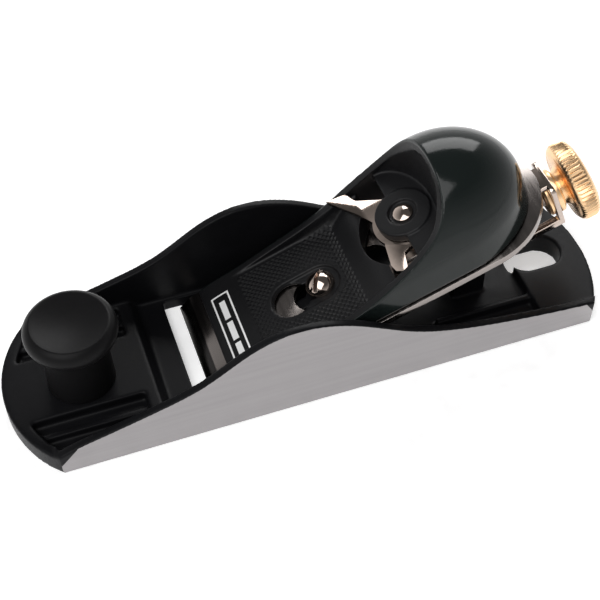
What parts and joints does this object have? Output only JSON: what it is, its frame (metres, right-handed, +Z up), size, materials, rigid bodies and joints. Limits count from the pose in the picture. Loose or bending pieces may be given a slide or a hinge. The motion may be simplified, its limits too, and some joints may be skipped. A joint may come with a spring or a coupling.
{
  "type": "block plane",
  "caption": "Metal hand plane with low winged body, bevel-up cutter, hooded lever cap with side-swinging cam lever, round front knob and knurled brass depth wheel.",
  "frame": {"origin": "on the sole, under the middle of the body's length and width", "axes": "+X from toe to heel along the sole, +Y to the plane's left when it is pushed towards the toe seen from above, +Z up from the sole"},
  "size_m": [0.1782, 0.0508, 0.0607],
  "materials": {
    "body": "black enamel inside, sides and sole ground bright",
    "front_knob": "satin black",
    "knob_insert": "turned",
    "knob_stud": "threaded",
    "cutter": "ground and polished",
    "lever_cap": "gloss black enamel",
    "cam_rivet": "bright",
    "pressure_spring": "spring steel",
    "spring_rivet": "bright",
    "cam_lever": "nickel plated",
    "cap_screw": "nickel plated",
    "adjusting_stud": "threaded",
    "stud_locknut": "plain",
    "adjusting_slide": "nickel plated",
    "slide_pawl": "hardened",
    "adjusting_nut": "turned and knurled"
  },
  "bodies": {
    "frame": {"body": "body", "front_knob": "front_knob", "knob_insert": "knob_insert", "knob_stud": "knob_stud", "adjusting_stud": "adjusting_stud", "stud_locknut": "stud_locknut"},
    "cap": {"lever_cap": "lever_cap", "cam_rivet": "cam_rivet", "pressure_spring": "pressure_spring", "spring_rivet": "spring_rivet"},
    "cam": {"cam_lever": "cam_lever"},
    "blade": {"cutter": "cutter"},
    "carriage": {"adjusting_slide": "adjusting_slide", "slide_pawl": "slide_pawl"},
    "nut": {"adjusting_nut": "adjusting_nut"},
    "clamp_screw": {"cap_screw": "cap_screw"}
  },
  "joints": [
    {"name": "cap_slide", "type": "slide", "parent": "frame", "child": "cap", "axis": [0.9336, 0, 0.3584], "range_m": [0, 0.0093]},
    {"name": "cam_lift", "type": "hinge", "parent": "cap", "child": "cam", "pos_m": [0.0301, 0, 0.03708], "axis": [-0.3584, 0, 0.9336], "range_deg": [0, 80]},
    {"name": "carriage_feed", "type": "slide", "parent": "frame", "child": "carriage", "axis": [0.9336, 0, 0.3584], "range_m": [-0.00101, 0.00301]},
    {"name": "nut_spin", "type": "hinge", "parent": "carriage", "child": "nut", "pos_m": [0.08032, 0, 0.03407], "axis": [0.9336, 0, 0.3584], "range_deg": [-360, 1080]},
    {"name": "cutter_feed", "type": "slide", "parent": "frame", "child": "blade", "axis": [0.9336, 0, 0.3584], "range_m": [-0.00101, 0.00301]},
    {"name": "screw_turn", "type": "hinge", "parent": "frame", "child": "clamp_screw", "pos_m": [0.0063, 0, 0.01509], "axis": [-0.3584, 0, 0.9336], "range_deg": [-180, 180]}
  ],
  "couplings": [
    {"joint": "carriage_feed", "follows": "nut_spin", "m_per_rad": 0.00015915},
    {"joint": "cutter_feed", "follows": "nut_spin", "m_per_rad": 0.00015915}
  ]
}
